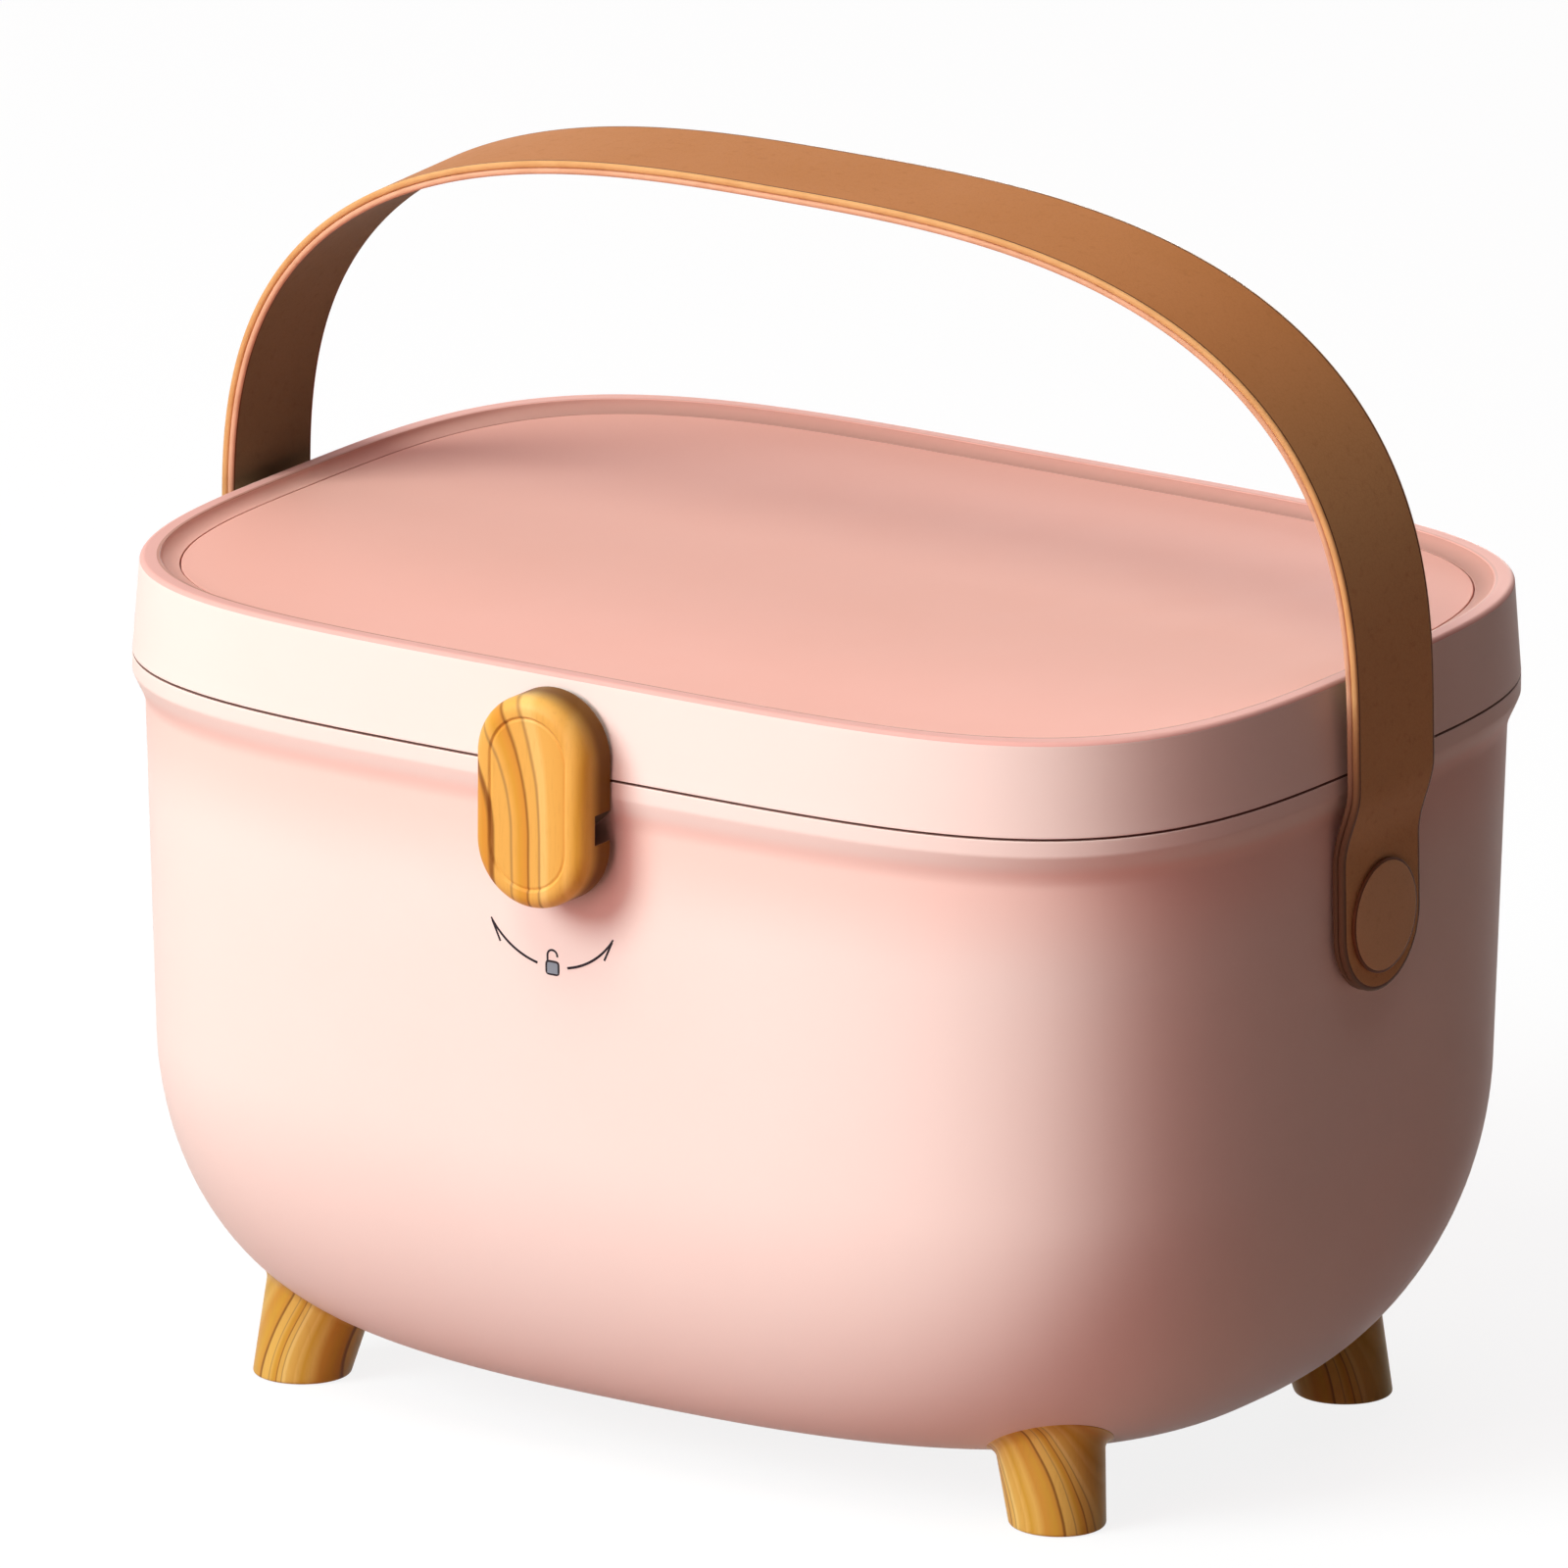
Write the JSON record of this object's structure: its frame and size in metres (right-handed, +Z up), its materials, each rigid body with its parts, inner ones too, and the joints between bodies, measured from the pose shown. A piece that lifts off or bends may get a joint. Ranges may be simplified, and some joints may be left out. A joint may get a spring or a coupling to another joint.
{
  "type": "medicine box",
  "caption": "Rounded plastic medicine box on splayed feet, with a hinged lid, a rotary front latch, a swinging strap handle and a lift-out tray.",
  "frame": {"origin": "on the floor, below the middle of the box", "axes": "+Z up, +X along the width to the right of someone facing the latch, -Y out of the front where the latch is"},
  "size_m": [0.314, 0.2471, 0.294],
  "materials": {
    "pink_plastic": "soft satin",
    "lid_plastic": "soft satin",
    "salmon_panel": "matte",
    "wood_look": "satin lacquer",
    "dark_plastic": "matte",
    "strap_leather": "smooth, painted edges",
    "strap_lining": "matte",
    "rivet_brown": "satin",
    "white_plastic": "matte",
    "steel": "brushed"
  },
  "bodies": {
    "body": {"body_shell": "pink_plastic", "foot_front_left": "wood_look", "foot_front_right": "wood_look", "foot_back_left": "wood_look", "foot_back_right": "wood_look", "foot_screws": "steel", "catch_stud": "dark_plastic", "hinge_pin_left": "steel", "hinge_pin_right": "steel", "rivet_cap_left": "rivet_brown", "rivet_cap_right": "rivet_brown", "rivet_washer_left": "white_plastic", "rivet_washer_right": "white_plastic", "rivet_nut_left": "white_plastic", "rivet_nut_right": "white_plastic"},
    "lid": {"lid_shell": "lid_plastic", "lid_panel": "salmon_panel"},
    "latch": {"latch_cover": "wood_look", "latch_plate": "dark_plastic", "latch_screw": "steel", "latch_washer": "white_plastic"},
    "handle": {"strap_outer": "strap_leather", "strap_lining": "strap_lining"},
    "tray": {"inner_tray": "white_plastic", "divider_long": "white_plastic", "divider_left": "white_plastic", "divider_right": "white_plastic"}
  },
  "joints": [
    {"name": "lid_hinge", "type": "hinge", "parent": "body", "child": "lid", "pos_m": [0, 0.1177, 0.175], "axis": [-1, 0, 0], "range_deg": [0, 105], "deforming": ["strap_outer", "strap_lining"]},
    {"name": "latch_turn", "type": "hinge", "parent": "lid", "child": "latch", "pos_m": [0, -0.1129, 0.1801], "axis": [0, -1, 0], "range_deg": [-90, 90]},
    {"name": "handle_swing", "type": "hinge", "parent": "body", "child": "handle", "pos_m": [0, 0, 0.1387], "axis": [1, 0, 0], "range_deg": [-132, 128]},
    {"name": "tray_lift", "type": "slide", "parent": "body", "child": "tray", "axis": [0, 0, 1], "range_m": [0, 0.02]}
  ]
}
